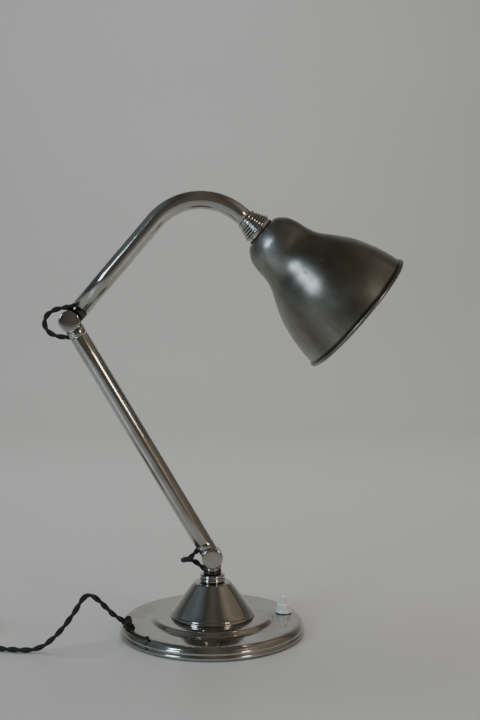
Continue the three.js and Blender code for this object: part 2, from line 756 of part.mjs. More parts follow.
piece(base, "cord_coil", coiled.translate(COIL.x, COIL.y, 0), CLOTH);

// The last of the lead leaves the top of the coil at its far side and runs straight into the plug.
const plugStart = [COIL.x - COIL.middle - coilSpread + LEAD - 0.3, COIL.y + 37, PLUG.thickness + 0.3];
piece(
  base,
  "cord_tail",
  swept(
    through([
      [plugStart[0], COIL.y + 23, 10],
      [plugStart[0], COIL.y + 29, 11],
      [plugStart[0], COIL.y + 37 - GAP, 11.5],
    ]),
    LEAD,
    4,
    8,
  ),
  CLOTH,
);
const plug = group(base, ...plugStart);
plug.rotation.x = -Math.PI / 2; // its axis along +Y, pins last
const pinX = PLUG.pinSpacing / 2;
const plugFace = PLUG.length;
const pinHole = (side) =>
  rod(PLUG.pinRadius + GAP, plugFace - 8, plugFace + 1).translate(side * pinX, 0, 0);
piece(
  plug,
  "plug_body",
  cut(
    turned(
      [[0, 0], [4, 0], [4.4, 9], [7, 13], [13.5, 18], [PLUG.width - 0.8, 23], [PLUG.width, 28],
        [PLUG.width, plugFace - 3], [PLUG.width - 1.6, plugFace], [0, plugFace]],
      TUBES,
    ).scale(1, PLUG.thickness / PLUG.width, 1),
    pinHole(1),
    pinHole(-1),
  ),
  BLACK,
);
const pinTip = plugFace + PLUG.pinLength;
const pinOutline = [
  [0, plugFace - 7.6],
  [PLUG.pinRadius, plugFace - 7.6],
  [PLUG.pinRadius, pinTip - 1.5],
  [PLUG.pinRadius - 1, pinTip],
  [0, pinTip],
];
[1, -1].forEach((side, i) =>
  piece(plug, "plug_pin_" + (i + 1), turned(pinOutline).translate(side * pinX, 0, 0), BRASS),
);

export default lamp;
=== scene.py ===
from math import ceil, cos, degrees, pi, radians, sin, sqrt

import bmesh
import bpy
import numpy as np
from mathutils import Matrix, Vector


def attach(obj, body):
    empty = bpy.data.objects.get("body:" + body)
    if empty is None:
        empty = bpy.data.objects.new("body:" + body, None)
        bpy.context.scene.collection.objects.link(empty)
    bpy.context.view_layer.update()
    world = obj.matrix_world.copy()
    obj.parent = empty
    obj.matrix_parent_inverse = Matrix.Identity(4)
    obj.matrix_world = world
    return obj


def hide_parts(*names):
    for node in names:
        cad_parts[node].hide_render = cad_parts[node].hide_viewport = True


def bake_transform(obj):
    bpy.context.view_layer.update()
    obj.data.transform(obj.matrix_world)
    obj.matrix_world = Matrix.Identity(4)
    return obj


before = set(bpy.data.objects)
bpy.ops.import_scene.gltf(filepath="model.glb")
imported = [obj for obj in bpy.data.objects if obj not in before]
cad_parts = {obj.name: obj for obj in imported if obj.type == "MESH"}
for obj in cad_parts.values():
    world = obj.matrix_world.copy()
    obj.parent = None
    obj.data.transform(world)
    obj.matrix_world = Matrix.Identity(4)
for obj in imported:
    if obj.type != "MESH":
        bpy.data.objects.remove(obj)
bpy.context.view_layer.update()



# ---------- Shared helpers ----------
def linked(name, data):
    obj = bpy.data.objects.new(name, data)
    bpy.context.scene.collection.objects.link(obj)
    return obj


def aimed(obj, place, way):
    """Stands a camera or light at a place, looking along a direction."""
    obj.location = place
    obj.rotation_mode = "QUATERNION"
    obj.rotation_quaternion = way.to_track_quat("-Z", "Y")
    return obj


def only_verts(geometry):
    return [g for g in geometry if isinstance(g, bmesh.types.BMVert)]


def only_edges(geometry):
    return [g for g in geometry if isinstance(g, bmesh.types.BMEdge)]


def smooth_shaded(mesh):
    mesh.polygons.foreach_set("use_smooth", [True] * len(mesh.polygons))


def set_stops(ramp, stops):
    while len(ramp.elements) < len(stops):
        ramp.elements.new(1)
    for element, (place, colour) in zip(ramp.elements, stops):
        element.position = place
        element.color = (*colour, 1)


# ---------- Camera ----------
CAMERA_PLACE = Vector((-0.0223, -1.0568, 0.3504))
CAMERA_WAY = Vector((0.04697, 0.99608, -0.07498))
camera_data = bpy.data.cameras.new("camera")
camera_data.lens = 54
camera_data.sensor_width = 36
bpy.context.scene.camera = aimed(linked("camera", camera_data), CAMERA_PLACE, CAMERA_WAY)

# ---------- The lamp's frames: shapes are drawn in millimetres, then placed in metres ----------
JOINT_HEIGHT = 74
LOWER_LENGTH, LOWER_LEAN = 273, -30.4
UPPER_STRAIGHT, UPPER_TAIL, UPPER_LEAN = 127.3, 27.5, 40.6
BEND_RADIUS, BEND = 59, 89.3
KNUCKLE_SHOULDER = 17
TUBE_RADIUS, TUBE_WALL = 9, 1.2
GAP = 0.3


def shifted(x, y, z):
    return Matrix.Translation((x, y, z))


def leaning(angle):
    return Matrix.Rotation(radians(angle), 4, "Y")


AT_BASE = Matrix.Scale(0.001, 4)
AT_NECK = AT_BASE @ shifted(0, 0, JOINT_HEIGHT)
AT_LOWER_ARM = AT_NECK @ leaning(LOWER_LEAN)
AT_UPPER_ARM = AT_LOWER_ARM @ shifted(0, 0, LOWER_LENGTH) @ leaning(UPPER_LEAN - LOWER_LEAN)
BEND_END = (
    BEND_RADIUS * (1 - cos(radians(BEND))),
    UPPER_STRAIGHT + BEND_RADIUS * sin(radians(BEND)),
)
AT_SHADE = (
    AT_UPPER_ARM
    @ shifted(
        BEND_END[0] + UPPER_TAIL * sin(radians(BEND)),
        0,
        BEND_END[1] + UPPER_TAIL * cos(radians(BEND)),
    )
    @ leaning(BEND)
)
NECK_DOWN = AT_NECK @ leaning(180)
ELBOW_DOWN = AT_LOWER_ARM @ shifted(0, 0, LOWER_LENGTH) @ leaning(180)


# ---------- Material nodes ----------
class Wire:
    """One output of a node; arithmetic on it adds Math nodes."""

    def __init__(self, sheet, socket):
        self.sheet = sheet
        self.socket = socket

    def _math(self, operation, first, second):
        return self.sheet.node("ShaderNodeMath", {"operation": operation}, {0: first, 1: second})

    def __add__(self, other):
        return self._math("ADD", self, other)

    def __radd__(self, other):
        return self._math("ADD", other, self)

    def __sub__(self, other):
        return self._math("SUBTRACT", self, other)

    def __rsub__(self, other):
        return self._math("SUBTRACT", other, self)

    def __mul__(self, other):
        return self._math("MULTIPLY", self, other)

    def __pow__(self, other):
        return self._math("POWER", self, other)

    def over(self, other):
        return self._math("MAXIMUM", self, other)

    def wave(self):
        return self._math("SINE", self, 0.0) * 0.5 + 0.5


class Finish:
    """A material: its node tree and its Principled surface."""

    def __init__(self, name):
        self.material = bpy.data.materials.new(name)
        self.material.use_nodes = True
        self.tree = self.material.node_tree
        self.tree.nodes.clear()
        self.shader = self.node("ShaderNodeBsdfPrincipled")
        self.node("ShaderNodeOutputMaterial", sockets={"Surface": self.shader})

    def node(self, kind, settings=None, sockets=None, output=0):
        made = self.tree.nodes.new(kind)
        for name, value in (settings or {}).items():
            if name == "stops":
                set_stops(made.color_ramp, value)
            else:
                setattr(made, name, value)
        for name, value in (sockets or {}).items():
            if isinstance(value, Wire):
                self.tree.links.new(value.socket, made.inputs[name])
            else:
                made.inputs[name].default_value = value
        if not made.outputs:
            return None
        return Wire(self, made.outputs[output])

    def surface(self, **values):
        shader = self.shader.socket.node
        for name, value in values.items():
            socket = shader.inputs[name.replace("_", " ")]
            if isinstance(value, Wire):
                self.tree.links.new(value.socket, socket)
            else:
                socket.default_value = value

    def place(self, output="Object"):
        """Where a point of the surface is: object coordinates unless another output is named."""
        return self.node("ShaderNodeTexCoord", output=output)

    def turned_place(self, centre, turn):
        """Coordinates measured from a point in metres, after an unturning by Euler angles."""
        from_centre = self.node(
            "ShaderNodeVectorMath",
            {"operation": "SUBTRACT"},
            {0: self.place(), 1: centre},
        )
        return self.node(
            "ShaderNodeVectorRotate",
            {"rotation_type": "EULER_XYZ", "invert": True},
            {"Vector": from_centre, "Rotation": turn},
        )

    def stretched(self, place, scale):
        return self.node("ShaderNodeMapping", sockets={"Vector": place, "Scale": scale})

    def split(self, place):
        parts = self.node("ShaderNodeSeparateXYZ", sockets={"Vector": place}).socket.node
        return [Wire(self, parts.outputs[axis]) for axis in "XYZ"]

    def noise(self, place, scale, detail=3.0, roughness=0.55):
        sockets = {"Vector": place, "Scale": scale, "Detail": detail, "Roughness": roughness}
        return self.node("ShaderNodeTexNoise", sockets=sockets)

    def cells(self, place, scale):
        return self.node("ShaderNodeTexVoronoi", sockets={"Vector": place, "Scale": scale})

    def band(self, value, low, high):
        """0 at low and 1 at high, with soft ends; it falls when low is the greater."""
        return self.node(
            "ShaderNodeMapRange",
            {"interpolation_type": "SMOOTHSTEP"},
            {"Value": value, 1: low, 2: high},
        )

    def ramp(self, value, *stops):
        return self.node("ShaderNodeValToRGB", {"stops": stops}, {"Fac": value})

    def mixed(self, share, first, second):
        return self.node(
            "ShaderNodeMix",
            {"data_type": "RGBA"},
            {"Factor": share, 6: opaque(first), 7: opaque(second)},
            output=2,
        )

    def bumped(self, height, strength, distance):
        normal = self.node(
            "ShaderNodeBump",
            sockets={"Height": height, "Strength": strength, "Distance": distance},
        )
        self.surface(Normal=normal)


def opaque(colour):
    return colour if isinstance(colour, Wire) else (*colour, 1.0)


def plated_chrome(name, bright, worn):
    f = Finish(name)
    place = f.place()
    smudge = f.band(f.noise(place, 26.0, 5.0, 0.6), 0.42, 0.72)
    grain = f.noise(f.stretched(place, (900.0, 900.0, 120.0)), 1.0, 2.0)
    pits = f.band(f.cells(place, 420.0), 0.13, 0.05) * f.band(f.noise(place, 34.0), 0.52, 0.66)
    hairline = f.band(f.noise(f.stretched(place, (60.0, 60.0, 1500.0)), 1.0, 2.0), 0.66, 0.78)
    warm = f.mixed(smudge, bright, worn)
    f.surface(
        Base_Color=f.mixed(pits * 0.75, warm, (0.10, 0.08, 0.06)),
        Metallic=1.0 - pits * 0.5,
        Roughness=0.075 + smudge * 0.09 + hairline * 0.06 + pits * 0.4,
    )
    f.bumped(grain * 0.3 + hairline * 0.4 - pits, 0.10, 0.0002)
    return f.material


def aged_nickel():
    f = Finish("aged_nickel")
    place = f.turned_place(AT_SHADE.to_translation(), tuple(AT_SHADE.to_euler()))
    _, _, z = f.split(place)
    rings = f.noise(f.stretched(place, (6.0, 6.0, 1400.0)), 1.0, 3.0)
    cloud = f.noise(place, 17.0, 6.0, 0.62)
    blotch = f.band(f.noise(place, 9.0, 4.0, 0.5), 0.40, 0.68)
    streak = f.band(f.noise(f.stretched(place, (160.0, 160.0, 9.0)), 1.0, 4.0), 0.50, 0.74)
    specks = f.band(f.cells(place, 120.0), 0.11, 0.04) * f.band(f.noise(place, 21.0), 0.55, 0.63)
    scuffs = f.band(f.noise(f.stretched(place, (45.0, 300.0, 45.0)), 1.0, 5.0, 0.7), 0.63, 0.72)
    rim = f.band(z, 0.1215, 0.1228)
    # Painted shade: a dark line in the crease where the rolled rim meets the shell.
    painted_crease_shade = f.band(z, 0.1172, 0.1190) * f.band(z, 0.1212, 0.1200)
    ground = f.ramp(
        cloud * 0.7 + blotch * 0.3,
        (0.25, (0.17, 0.16, 0.132)),
        (0.50, (0.27, 0.265, 0.238)),
        (0.75, (0.35, 0.36, 0.352)),
    )
    dulled = f.mixed(streak * 0.4, ground, (0.14, 0.12, 0.085))
    worn = f.mixed(scuffs * 0.25 + rim * 0.2, dulled, (0.42, 0.42, 0.40))
    f.surface(
        # The near-black colour takes both the real dark specks and the painted shade in the rim's crease.
        Base_Color=f.mixed((specks * 0.85).over(painted_crease_shade * 0.8), worn, (0.02, 0.018, 0.014)),
        Metallic=0.97 - specks * 0.5,
        Roughness=0.25 + cloud * 0.14 + streak * 0.08 - rim * 0.08 + specks * 0.25,
    )
    f.bumped(rings * 0.35 + cloud * 0.5 - specks * 1.2, 0.16, 0.0004)
    return f.material


def machined_steel():
    f = Finish("machined_steel")
    place = f.place()
    cloud = f.noise(place, 60.0, 5.0)
    lines = f.noise(f.stretched(place, (300.0, 3000.0, 300.0)), 1.0, 2.0)
    rust = f.band(f.noise(place, 140.0, 6.0, 0.7), 0.60, 0.75)
    f.surface(
        Base_Color=f.mixed(rust * 0.6, (0.40, 0.40, 0.41), (0.16, 0.09, 0.05)),
        Metallic=1.0 - rust * 0.5,
        Roughness=0.26 + cloud * 0.18 + rust * 0.2,
    )
    f.bumped(lines + cloud * 0.4, 0.15, 0.0002)
    return f.material


def dull_brass():
    f = Finish("dull_brass")
    place = f.place()
    cloud = f.noise(place, 75.0, 5.0, 0.6)
    brown = f.band(f.noise(place, 30.0, 4.0), 0.45, 0.70)
    f.surface(
        Base_Color=f.mixed(brown * 0.7, (0.62, 0.46, 0.19), (0.27, 0.17, 0.07)),
        Metallic=1.0,
        Roughness=0.24 + cloud * 0.2 + brown * 0.12,
    )
    f.bumped(cloud, 0.12, 0.0002)
    return f.material


def sand_cast_iron():
    f = Finish("sand_cast_iron")
    place = f.place()
    sand = f.noise(place, 900.0, 4.0, 0.7)
    scale = f.band(f.noise(place, 70.0, 5.0), 0.45, 0.65)
    f.surface(
        Base_Color=f.mixed(scale, (0.055, 0.053, 0.05), (0.12, 0.065, 0.035)),
        Metallic=0.5 - scale * 0.3,
        Roughness=0.62 + sand * 0.25,
    )
    f.bumped(sand + scale * 0.5, 0.5, 0.0006)
    return f.material


def green_felt():
    f = Finish("green_felt")
    place = f.place()
    fibre = f.noise(f.stretched(place, (2200.0, 500.0, 900.0)), 1.0, 4.0, 0.7)
    cross = f.noise(f.stretched(place, (500.0, 2200.0, 900.0)), 1.0, 4.0, 0.7)
    worn = f.band(f.noise(place, 16.0, 4.0), 0.48, 0.72)
    fuzz = fibre.over(cross)
    f.surface(
        Base_Color=f.mixed(fuzz * 0.5 + worn * 0.3, (0.012, 0.045, 0.026), (0.06, 0.10, 0.06)),
        Roughness=0.86 + fuzz * 0.12,
        Sheen_Weight=0.4,
        Sheen_Roughness=0.5,
    )
    f.bumped(fuzz, 0.7, 0.0005)
    return f.material


WEAVE_PITCH, WEAVE_STARTS = 1.05, 5  # millimetres between threads, and threads round the flex


def braided_cotton():
    f = Finish("braided_cotton")
    along, around, _ = f.split(f.place("UV"))
    length = along * (2 * pi / WEAVE_PITCH)
    girth = around * (2 * pi * WEAVE_STARTS)
    twill = (length + girth).wave()
    weft = (length - girth).wave()
    threads = twill.over(weft)
    fluff = f.noise(f.place(), 2600.0, 3.0, 0.7)
    dust = f.band(f.noise(f.place(), 55.0, 4.0), 0.50, 0.74)
    dark = f.mixed(threads ** 2.0, (0.0035, 0.0035, 0.004), (0.022, 0.022, 0.024))
    f.surface(
        Base_Color=f.mixed(dust * 0.22 + fluff * 0.10, dark, (0.085, 0.08, 0.075)),
        Roughness=0.74 + fluff * 0.2,
        Sheen_Weight=0.25,
        Sheen_Roughness=0.45,
        Specular_IOR_Level=0.35,
    )
    f.bumped(threads + fluff * 0.35, 0.85, 0.00035)
    return f.material


def moulded_black():
    f = Finish("moulded_black")
    place = f.place()
    marble = f.noise(place, 120.0, 5.0, 0.65)
    dust = f.band(f.noise(place, 45.0, 4.0), 0.50, 0.75)
    f.surface(
        Base_Color=f.mixed(marble, (0.008, 0.007, 0.007), (0.032, 0.022, 0.018)),
        Roughness=0.24 + dust * 0.25,
        Coat_Weight=0.25 - dust * 0.2,
        Coat_Roughness=0.15,
    )
    f.bumped(marble, 0.08, 0.0003)
    return f.material


def soft_rubber():
    f = Finish("soft_rubber")
    place = f.place()
    bloom = f.band(f.noise(place, 90.0, 5.0, 0.65), 0.42, 0.75)
    skin = f.noise(place, 1500.0, 2.0)
    f.surface(
        Base_Color=f.mixed(bloom * 0.5, (0.012, 0.012, 0.012), (0.05, 0.048, 0.045)),
        Roughness=0.62 + bloom * 0.22,
    )
    f.bumped(skin + bloom * 0.4, 0.25, 0.0003)
    return f.material


def ivory_porcelain():
    f = Finish("ivory_porcelain")
    place = f.place()
    _, _, height = f.split(place)
    # Darker, rougher and less glossy towards the foot of the dome, broken up by noise.
    darker_foot_band = f.band(height, 0.0165, 0.0128) * f.band(f.noise(place, 260.0, 4.0), 0.35, 0.6)
    tone = f.noise(place, 90.0, 3.0)
    glaze = f.mixed(tone, (0.84, 0.88, 0.91), (0.90, 0.93, 0.95))
    f.surface(
        Base_Color=f.mixed(darker_foot_band * 0.55, glaze, (0.30, 0.24, 0.16)),
        Roughness=0.16 + tone * 0.06 + darker_foot_band * 0.3,
        Coat_Weight=0.6 - darker_foot_band * 0.4,
        Coat_Roughness=0.08,
        Subsurface_Weight=0.08,
        Subsurface_Radius=(0.002, 0.0016, 0.001),
    )
    f.bumped(f.noise(place, 180.0, 2.0), 0.06, 0.0003)
    return f.material


def lit_frosted_glass():
    f = Finish("lit_frosted_glass")
    place = f.turned_place(AT_SHADE.to_translation(), tuple(AT_SHADE.to_euler()))
    _, _, z = f.split(place)
    frost = f.noise(place, 700.0, 3.0)
    hot = f.band(z, 0.035, 0.075)
    glow = f.mixed(hot, (1.0, 0.50, 0.20), (1.0, 0.80, 0.52))
    f.surface(
        Base_Color=f.mixed(frost, (0.86, 0.84, 0.80), (0.94, 0.93, 0.90)),
        Roughness=0.32 + frost * 0.2,
        Emission_Color=glow,
        Emission_Strength=9.0,
    )
    f.bumped(frost, 0.1, 0.0002)
    return f.material


def studio_paper():
    f = Finish("studio_paper")
    place = f.place()
    tone = f.noise(place, 1.3, 2.0)
    f.surface(
        Base_Color=f.mixed(tone, (0.56, 0.56, 0.55), (0.58, 0.58, 0.57)),
        Roughness=0.32 + tone * 0.05,
    )
    f.bumped(f.noise(place, 260.0, 2.0), 0.04, 0.0004)
    return f.material


CHROME = plated_chrome("plated_chrome", (0.53, 0.525, 0.51), (0.43, 0.405, 0.36))
# A darker copy of the chrome: painted shade for the rear half of the elbow, which lies in shadow.
CHROME_PAINTED_SHADE = plated_chrome("chrome_with_painted_shade", (0.09, 0.085, 0.08), (0.05, 0.045, 0.04))
NICKEL = aged_nickel()
STEEL = machined_steel()
BRASS = dull_brass()
IRON = sand_cast_iron()
FELT = green_felt()
COTTON = braided_cotton()
BAKELITE = moulded_black()
RUBBER = soft_rubber()
PORCELAIN = ivory_porcelain()
GLASS = lit_frosted_glass()


# ---------- Shapes ----------
def arc(r, z, radius, start, end, steps=8):
    """Points of an arc about (r, z), between two angles in degrees."""
    turns = [radians(start + (end - start) * i / steps) for i in range(steps + 1)]
    return [(r + radius * cos(t), z + radius * sin(t)) for t in turns]


def offset(points, distance):
    """An open outline moved sideways, to the left of its direction, with mitred corners."""
    path = [Vector(p) for p in points]
    moved = []
    for i, p in enumerate(path):
        before = (p - path[max(i - 1, 0)]).normalized()
        after = (path[min(i + 1, len(path) - 1)] - p).normalized()
        before = before if before.length else after
        after = after if after.length else before
        left = Vector((-before.y - after.y, before.x + after.x)).normalized()
        reach = distance / max(0.5, before.x * left.y - before.y * left.x)
        moved.append(tuple(p + left * reach))
    return moved


def smooth(points, step):
    """A curve through the points, with a new point about every step."""
    path = [Vector(p) for p in points]
    drawn = [path[0]]
    for i in range(len(path) - 1):
        a, b = path[i], path[i + 1]
        before, after = path[max(i - 1, 0)], path[min(i + 2, len(path) - 1)]
        pull_a, pull_b = (b - before) / 2, (after - a) / 2
        count = max(1, ceil((b - a).length / step))
        for k in range(1, count + 1):
            t = k / count
            drawn.append(
                a * (2 * t**3 - 3 * t**2 + 1)
                + pull_a * (t**3 - 2 * t**2 + t)
                + b * (3 * t**2 - 2 * t**3)
                + pull_b * (t**3 - t**2)
            )
    return drawn


def turn_into(bm, outline, facets=96, matrix=Matrix.Identity(4)):
    """Spins an outline of (radius, height) about Z; one that misses the axis closes on itself."""
    verts = [bm.verts.new((r, 0, z)) for r, z in outline]
    edges = [bm.edges.new(pair) for pair in zip(verts, verts[1:])]
    if outline[0][0] > 1e-6:
        edges.append(bm.edges.new((verts[-1], verts[0])))
    kept = set(bm.verts) - set(verts)
    bmesh.ops.spin(
        bm,
        geom=verts + edges,
        cent=(0, 0, 0),
        axis=(0, 0, 1),
        dvec=(0, 0, 0),
        angle=2 * pi,
        steps=facets,
        use_merge=True,
        use_duplicate=False,
    )
    new = [v for v in bm.verts if v not in kept]
    bmesh.ops.remove_doubles(bm, verts=new, dist=1e-4)
    new = [v for v in bm.verts if v not in kept]
    bmesh.ops.transform(bm, matrix=matrix, verts=new)
    return new


def turned(*outlines, facets=96):
    bm = bmesh.new()
    for outline in outlines:
        turn_into(bm, outline, facets)
    return bm


def spun(outline, wall):
    return [*outline, *reversed(offset(outline, wall))]


def softened(bm, width, angle=30, segments=3):
    """Rounds every edge that is sharper than an angle."""
    bmesh.ops.recalc_face_normals(bm, faces=bm.faces)
    limit = radians(angle)
    sharp = [e for e in bm.edges if len(e.link_faces) == 2 and e.calc_face_angle(0) > limit]
    bmesh.ops.bevel(
        bm,
        geom=sharp,
        offset=width,
        offset_type="OFFSET",
        segments=segments,
        profile=0.5,
        affect="EDGES",
        clamp_overlap=True,
        material=-1,
    )
    return bm


def finished(name, bm, material, body, place=AT_BASE, stands_for=None, keen=40):
    """Places a shape, smooths it, and makes it a piece that rides on a body of the lamp."""
    bm.transform(place)
    bmesh.ops.recalc_face_normals(bm, faces=bm.faces)
    mesh = bpy.data.meshes.new(name)
    bm.to_mesh(mesh)
    bm.free()
    smooth_shaded(mesh)
    mesh.set_sharp_from_angle(angle=radians(keen))
    return piece(name, mesh, material, body, stands_for)


def piece(name, mesh, material, body, stands_for):
    """Makes a mesh a piece; without a body it rides on nothing."""
    obj = linked(name, mesh)
    mesh.materials.append(material)
    if body:
        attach(obj, body)
    if stands_for:
        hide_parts(*stands_for)
    return obj


# ---------- Cords ----------
def strands(path, radius, apart, pitch, count=2):
    """The core lines of a twisted cord: each winds round the path, a little to one side of it."""
    last = len(path) - 1
    ways = [(path[min(i + 1, last)] - path[max(i - 1, 0)]).normalized() for i in range(last + 1)]
    side = ways[0].orthogonal().normalized()
    lines = [[] for _ in range(count)]
    run = 0
    for i, (point, way) in enumerate(zip(path, ways)):
        if i:
            side.rotate(ways[i - 1].rotation_difference(way))
            run += (point - path[i - 1]).length
        side = (side - way * side.dot(way)).normalized()
        across = way.cross(side)
        for k, line in enumerate(lines):
            turn = 2 * pi * (run / pitch + k / count)
            line.append(point + (side * cos(turn) + across * sin(turn)) * apart)
    return lines


def sleeved(name, lines, radius, body, stands_for=None, closed=False, sides=2, material=COTTON):
    """Round bars along lines in millimetres; a weave reads its length along u and its turn in v."""
    data = bpy.data.curves.new(name + "_line", "CURVE")
    data.dimensions = "3D"
    data.bevel_depth = radius * 0.001
    data.bevel_resolution = sides
    data.use_fill_caps = not closed
    lengths = []
    for line in lines:
        spline = data.splines.new("POLY")
        spline.points.add(len(line) - 1)
        for point, place in zip(spline.points, line):
            point.co = (*(place * 0.001), 1)
        spline.use_cyclic_u = closed
        lengths.append(sum((b - a).length for a, b in zip(line, line[1:])))
    drawn = linked(name + "_line", data)
    bpy.context.view_layer.update()
    evaluated = drawn.evaluated_get(bpy.context.evaluated_depsgraph_get())
    mesh = bpy.data.meshes.new_from_object(evaluated)
    bpy.data.objects.remove(drawn)
    mesh.name = name
    weave = mesh.uv_layers[0]
    weave.name = "UVMap"
    flat = np.empty(len(weave.uv) * 2, np.float32)
    weave.uv.foreach_get("vector", flat)
    flat[0::2] *= sum(lengths) / len(lengths)
    weave.uv.foreach_set("vector", flat)
    smooth_shaded(mesh)
    mesh.materials.clear()
    return piece(name, mesh, material, body, stands_for)


STRAND, APART = 1.45, 1.25  # radius of each core, and how far it lies from the middle of the flex
PITCH, LOOP_PITCH = 25, 21  # length of one twist, along the runs and round the joint loops
EXIT = Vector((-80.3, -28.9, 12.7))
KNOT = Vector((-83.5, -30, 18))
EXIT_WAY = (KNOT - EXIT).normalized()
LEAD_ROUTE = [
    (-85.6, -31, 20.2), (-90, -33.2, 23.6), (-97, -37, 30), (-104, -42, 39.2), (-111, -47, 47.8),
    (-115.4, -50, 51.6), (-119.4, -52, 52.3), (-123, -54, 50), (-126, -55.5, 46), (-129.5, -57, 40.2),
    (-134, -58.5, 34), (-138.5, -60, 28), (-144, -61, 21.5), (-149.5, -61, 16), (-155, -60.3, 11),
    (-161, -59, 6.6), (-168, -58.2, 3.8), (-175, -58, 2.95), (-183, -57, 2.9), (-192, -55, 2.9),
    (-202, -52, 2.9), (-213, -48.4, 2.9), (-222, -45.2, 2.9), (-231, -42.6, 2.9), (-240.5, -40.8, 2.9),
]
COIL_X, COIL_Y = -260, 2
COIL_OUT, COIL_IN, TURNS, STEPS = 41, 18.8, 4, 24
COIL_LOW, COIL_HIGH = 2.9, 8.4


def coil_point(turn, radius, height):
    """A point of the coil after so many turns, clockwise from its near side."""
    angle = -pi / 2 - 2 * pi * turn
    return (COIL_X + radius * cos(angle), COIL_Y + radius * sin(angle), height)


inward = [
    coil_point(i / STEPS, COIL_OUT + (COIL_IN - COIL_OUT) * i / (TURNS * STEPS), COIL_LOW)
    for i in range(TURNS * STEPS)
]
rising = [
    coil_point(i / STEPS, COIL_IN, COIL_LOW + (COIL_HIGH - COIL_LOW) * i / (STEPS / 4))
    for i in range(STEPS // 4)
]
outward = [
    coil_point(0.25 + i / STEPS, COIL_IN + (COIL_OUT - COIL_IN) * i / (TURNS * STEPS), COIL_HIGH)
    for i in range(TURNS * STEPS + 1)
]
LEAD_TAIL = [(-301.3, 12, 8.9), (-301.3, 25, 10), (-301.3, 31, 11), (-301.3, 38.7, 11.5)]
lead_points = [tuple(EXIT + EXIT_WAY * 1.9), *LEAD_ROUTE, *inward, *rising, *outward, *LEAD_TAIL]
lead_path = smooth(lead_points, 2.2)
lead_length = sum((b - a).length for a, b in zip(lead_path, lead_path[1:])) / 1000
mains_lead = sleeved(
    "mains_lead",
    strands(lead_path, STRAND, APART, PITCH),
    STRAND,
    "base",
    ("cord_lead", "cord_coil", "cord_tail"),
)


# The knot: two trefoils of the flex at the bush, and a loose thread end along the shoulder.
def trefoil(centre, size, lean, steps=90):
    line = []
    for i in range(steps):
        t = 2 * pi * i / steps
        wide = 2 + cos(3 * t)
        line.append(Vector((wide * cos(2 * t), wide * sin(2 * t), 1.3 * sin(3 * t))) * size / 3)
    turn = Vector((0, 0, 1)).rotation_difference(Vector(lean))
    return [Vector(centre) + (turn @ p) for p in line]


cord_knot = sleeved(
    "lead_knot",
    [
        trefoil(KNOT, 4.3, EXIT_WAY),
        trefoil(KNOT + Vector((1.4, 4.6, 2.4)), 2.6, (0.4, 1, 0.5), 60),
    ],
    STRAND,
    "base",
    ("cord_knot",),
    closed=True,
)


def on_shoulder(azimuth, lift):
    tilt = radians(62)
    radius = 84 + (6.2 + lift) * cos(tilt)
    angle = radians(azimuth)
    return Vector((radius * cos(angle), radius * sin(angle), 6.6 + (6.2 + lift) * sin(tilt)))


thread = smooth([on_shoulder(a, 1.15) for a in (205.5, 209, 213, 217, 221, 224)], 1.5)
tie_thread = sleeved("tie_thread", [thread], 0.8, "base", ("tie_tail",))
thread_end = trefoil(on_shoulder(224.5, 2.4), 1.7, (0.3, 0.4, 1), 48)
tie_end = sleeved("tie_thread_knot", [thread_end], 0.75, "base", closed=True)

# ---------- Plug ----------
PLUG_START = shifted(-301.3, 39, 11.5) @ Matrix.Rotation(-pi / 2, 4, "X")
plug_shape = turned(
    [
        (0, 0), (3.6, 0), (4, 0.5), (4, 2.2), (3.5, 2.6), (3.5, 3.4), (4.1, 3.8), (4.1, 5.6), (3.6, 6),
        (3.6, 6.8), (4.4, 7.4), (4.6, 9), (7, 13), (10, 15), (13.5, 18), (16, 21), (17.4, 24),
        (18, 28), (18, 33), (17.2, 33.4), (17.2, 34.2), (18, 34.6), (18, 37), (17.4, 39), (16.4, 40),
        (0, 40),
    ]
)
bmesh.ops.scale(plug_shape, vec=(1, 11.2 / 18, 1), verts=plug_shape.verts)
plug_body = finished(
    "mains_plug", softened(plug_shape, 0.3), BAKELITE, "base", AT_BASE @ PLUG_START, ("plug_body",)
)
for number, side in (("1", 1), ("2", -1)):
    pin = turned([(0, 32.4), (2.4, 32.4), (2.4, 57), *arc(0, 56.6, 2.4, 0, 90, 5)], facets=32)
    finished(
            "plug_prong_" + number,
            pin,
            BRASS,
            "base",
            AT_BASE @ PLUG_START @ shifted(side * 9.5, 0, 0),
            ("plug_pin_" + number,),
        )

bush = [(3.05, -3), (4.4, -3), (4.4, 0.6), (4.9, 0.9), (4.9, 1.3), (4.3, 1.6), (3.05, 1.6)]
bush_turn = Vector((0, 0, 1)).rotation_difference(EXIT_WAY).to_matrix().to_4x4()
cord_bush = finished(
    "lead_bush",
    softened(turned(bush, facets=48), 0.2),
    RUBBER,
    "base",
    AT_BASE @ shifted(*EXIT) @ bush_turn,
    ("cord_bush",),
)
[p * 0.001 for p in lead_path]

# ---------- Base ----------
cover = [
    (88.6, 0.45),
    *arc(89.3, 2.6, 2.2, -80, 50, 10),
    *arc(88.6, 7, 2.2, -50, 30, 8),
    *arc(84, 6.6, 6.2, 25, 90, 14),
    *[(r, 12.8) for r in (80, 74, 68, 63)],
    *[(62 - 5.4 * i / 12, 14.7 - 1.9 * cos(pi * i / 12)) for i in range(13)],
    *[(r, 16.6) for r in (50, 40, 25, 12)],
    (5.3, 16.6),
]
cover_shape = turned(spun(cover, 1.2), facets=160)
finished("round_cover", cover_shape, CHROME, "base", AT_BASE, ("base_cover",), keen=30)

cone = [
    (42, 16.9),
    *arc(41.4, 17.5, 0.6, 0, 60, 4),
    *arc(41.6, 19.6, 0.9, 250, 130, 6),
    (40.3, 20.8),
    (37, 25.2),
    (30, 34.6),
    (23.4, 43.4),
    *arc(16, 46, 4, 36, 90, 8),
    (12, 50),
    (5.3, 50),
]
cone_shape = turned(spun(cone, 1.4), facets=128)
finished("cone_shell", cone_shape, CHROME, "base", AT_BASE, ("base_cone",))

